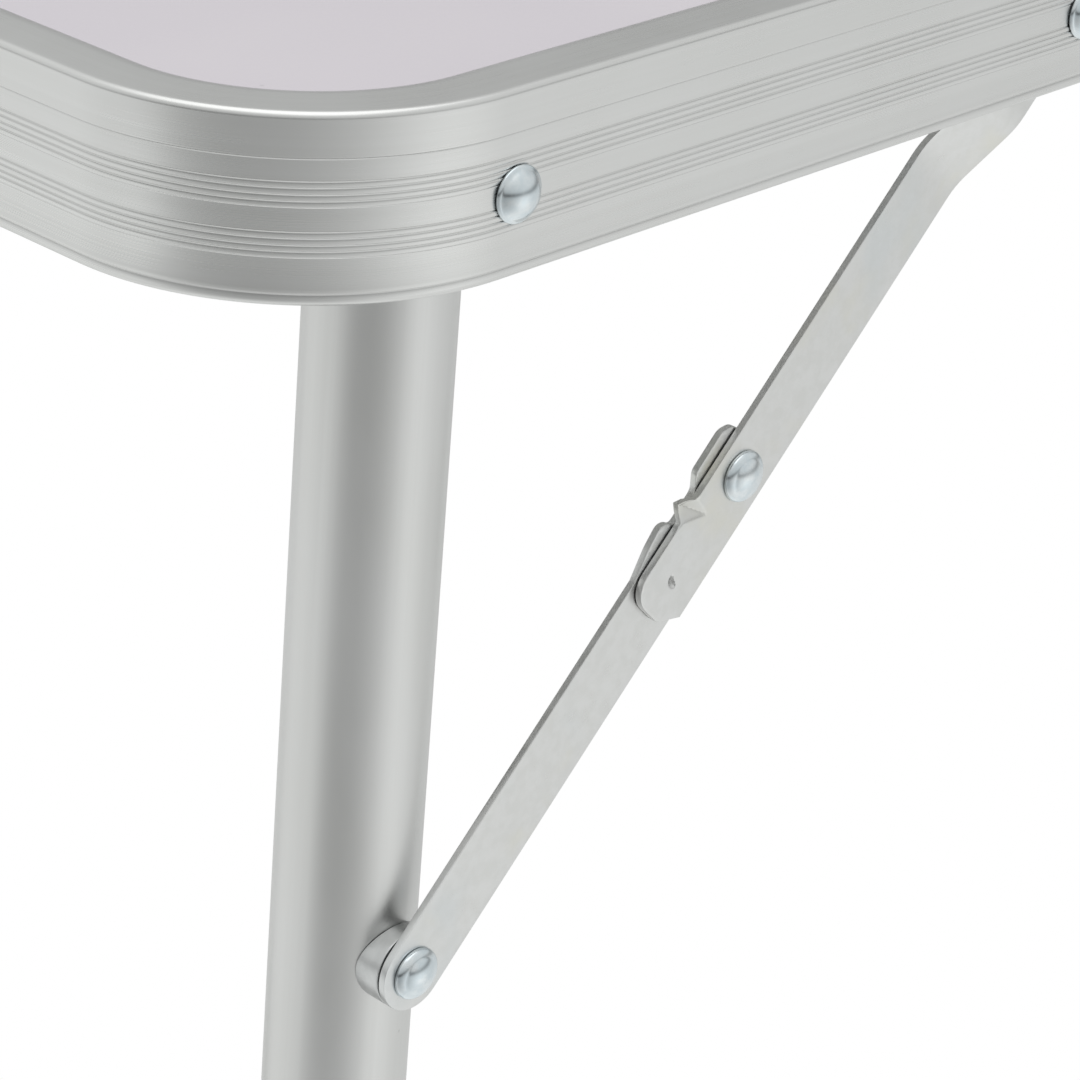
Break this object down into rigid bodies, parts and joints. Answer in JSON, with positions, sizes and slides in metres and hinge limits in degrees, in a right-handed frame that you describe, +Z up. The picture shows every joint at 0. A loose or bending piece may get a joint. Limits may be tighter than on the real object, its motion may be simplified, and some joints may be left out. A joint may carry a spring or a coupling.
{
  "type": "folding table",
  "caption": "Low folding camping table: laminate board in a bent aluminium edge rail, tube leg frames and snap-straight flat-link braces.",
  "frame": {"origin": "on the floor, under the middle of the table", "axes": "+Z up, +X along the long sides, +Y across the table to the back"},
  "size_m": [0.9, 0.6058, 0.35],
  "materials": {
    "board": "satin white melamine laminate",
    "rail": "satin anodised extrusion",
    "tube": "satin drawn tube",
    "strap": "bright zinc-plated steel strip",
    "rivet": "polished blue-white zinc plate",
    "spacer": "zinc-plated steel",
    "plastic": "moulded black plastic"
  },
  "bodies": {
    "tabletop": {"table_board": "board", "support_bar": "rail", "edge_rail_left": "rail", "edge_rail_right": "rail", "rail_splice_front": "rail", "rail_splice_back": "rail", "leg_pivot_rivet_front_left": "rivet", "leg_pivot_bush_front_left": "plastic", "brace_pivot_rivet_front_left": "rivet", "brace_pivot_washer_front_left": "spacer", "leg_pivot_rivet_front_right": "rivet", "leg_pivot_bush_front_right": "plastic", "brace_pivot_rivet_front_right": "rivet", "brace_pivot_washer_front_right": "spacer", "leg_pivot_rivet_back_left": "rivet", "leg_pivot_bush_back_left": "plastic", "brace_pivot_rivet_back_left": "rivet", "brace_pivot_washer_back_left": "spacer", "leg_pivot_rivet_back_right": "rivet", "leg_pivot_bush_back_right": "plastic", "brace_pivot_rivet_back_right": "rivet", "brace_pivot_washer_back_right": "spacer"},
    "leg_frame_left": {"cross_tube_left": "tube", "leg_tube_front_left": "tube", "foot_cap_front_left": "plastic", "brace_spacer_front_left": "spacer", "leg_stud_front_left": "rivet", "leg_tube_back_left": "tube", "foot_cap_back_left": "plastic", "brace_spacer_back_left": "spacer", "leg_stud_back_left": "rivet"},
    "leg_frame_right": {"cross_tube_right": "tube", "leg_tube_front_right": "tube", "foot_cap_front_right": "plastic", "brace_spacer_front_right": "spacer", "leg_stud_front_right": "rivet", "leg_tube_back_right": "tube", "foot_cap_back_right": "plastic", "brace_spacer_back_right": "spacer", "leg_stud_back_right": "rivet"},
    "upper_brace_front_left": {"upper_link_front_left": "strap", "middle_rivet_front_left": "rivet"},
    "lower_brace_front_left": {"lower_link_front_left": "strap", "lower_rivet_front_left": "rivet"},
    "upper_brace_front_right": {"upper_link_front_right": "strap", "middle_rivet_front_right": "rivet"},
    "lower_brace_front_right": {"lower_link_front_right": "strap", "lower_rivet_front_right": "rivet"},
    "upper_brace_back_left": {"upper_link_back_left": "strap", "middle_rivet_back_left": "rivet"},
    "lower_brace_back_left": {"lower_link_back_left": "strap", "lower_rivet_back_left": "rivet"},
    "upper_brace_back_right": {"upper_link_back_right": "strap", "middle_rivet_back_right": "rivet"},
    "lower_brace_back_right": {"lower_link_back_right": "strap", "lower_rivet_back_right": "rivet"}
  },
  "joints": [
    {"name": "leg_fold_left", "type": "hinge", "parent": "tabletop", "child": "leg_frame_left", "pos_m": [-0.402, 0, 0.3331], "axis": [0, -1, 0], "range_deg": [0, 92.2]},
    {"name": "upper_link_swing_front_left", "type": "hinge", "parent": "tabletop", "child": "upper_brace_front_left", "pos_m": [-0.2614, -0.29, 0.3331], "axis": [0, -1, 0], "range_deg": [-43.91, 0]},
    {"name": "brace_knee_front_left", "type": "hinge", "parent": "upper_brace_front_left", "child": "lower_brace_front_left", "pos_m": [-0.3344, -0.29, 0.26285], "axis": [0, -1, 0], "range_deg": [0, 180.01]},
    {"name": "upper_link_swing_back_left", "type": "hinge", "parent": "tabletop", "child": "upper_brace_back_left", "pos_m": [-0.2614, 0.29, 0.3331], "axis": [0, -1, 0], "range_deg": [-43.91, 0]},
    {"name": "brace_knee_back_left", "type": "hinge", "parent": "upper_brace_back_left", "child": "lower_brace_back_left", "pos_m": [-0.3344, 0.29, 0.26285], "axis": [0, -1, 0], "range_deg": [0, 180.01]},
    {"name": "leg_fold_right", "type": "hinge", "parent": "tabletop", "child": "leg_frame_right", "pos_m": [0.402, 0, 0.3331], "axis": [0, 1, 0], "range_deg": [0, 92.2]},
    {"name": "upper_link_swing_front_right", "type": "hinge", "parent": "tabletop", "child": "upper_brace_front_right", "pos_m": [0.2614, -0.29, 0.3331], "axis": [0, 1, 0], "range_deg": [-43.91, 0]},
    {"name": "brace_knee_front_right", "type": "hinge", "parent": "upper_brace_front_right", "child": "lower_brace_front_right", "pos_m": [0.3344, -0.29, 0.26285], "axis": [0, 1, 0], "range_deg": [0, 180.01]},
    {"name": "upper_link_swing_back_right", "type": "hinge", "parent": "tabletop", "child": "upper_brace_back_right", "pos_m": [0.2614, 0.29, 0.3331], "axis": [0, 1, 0], "range_deg": [-43.91, 0]},
    {"name": "brace_knee_back_right", "type": "hinge", "parent": "upper_brace_back_right", "child": "lower_brace_back_right", "pos_m": [0.3344, 0.29, 0.26285], "axis": [0, 1, 0], "range_deg": [0, 180.01]}
  ],
  "couplings": [
    {"joint": "upper_link_swing_front_left", "follows": "leg_fold_left", "ratio": -0.47614},
    {"joint": "brace_knee_front_left", "follows": "leg_fold_left", "ratio": 1.9523},
    {"joint": "upper_link_swing_back_left", "follows": "leg_fold_left", "ratio": -0.47614},
    {"joint": "brace_knee_back_left", "follows": "leg_fold_left", "ratio": 1.9523},
    {"joint": "upper_link_swing_front_right", "follows": "leg_fold_right", "ratio": -0.47614},
    {"joint": "brace_knee_front_right", "follows": "leg_fold_right", "ratio": 1.9523},
    {"joint": "upper_link_swing_back_right", "follows": "leg_fold_right", "ratio": -0.47614},
    {"joint": "brace_knee_back_right", "follows": "leg_fold_right", "ratio": 1.9523}
  ]
}
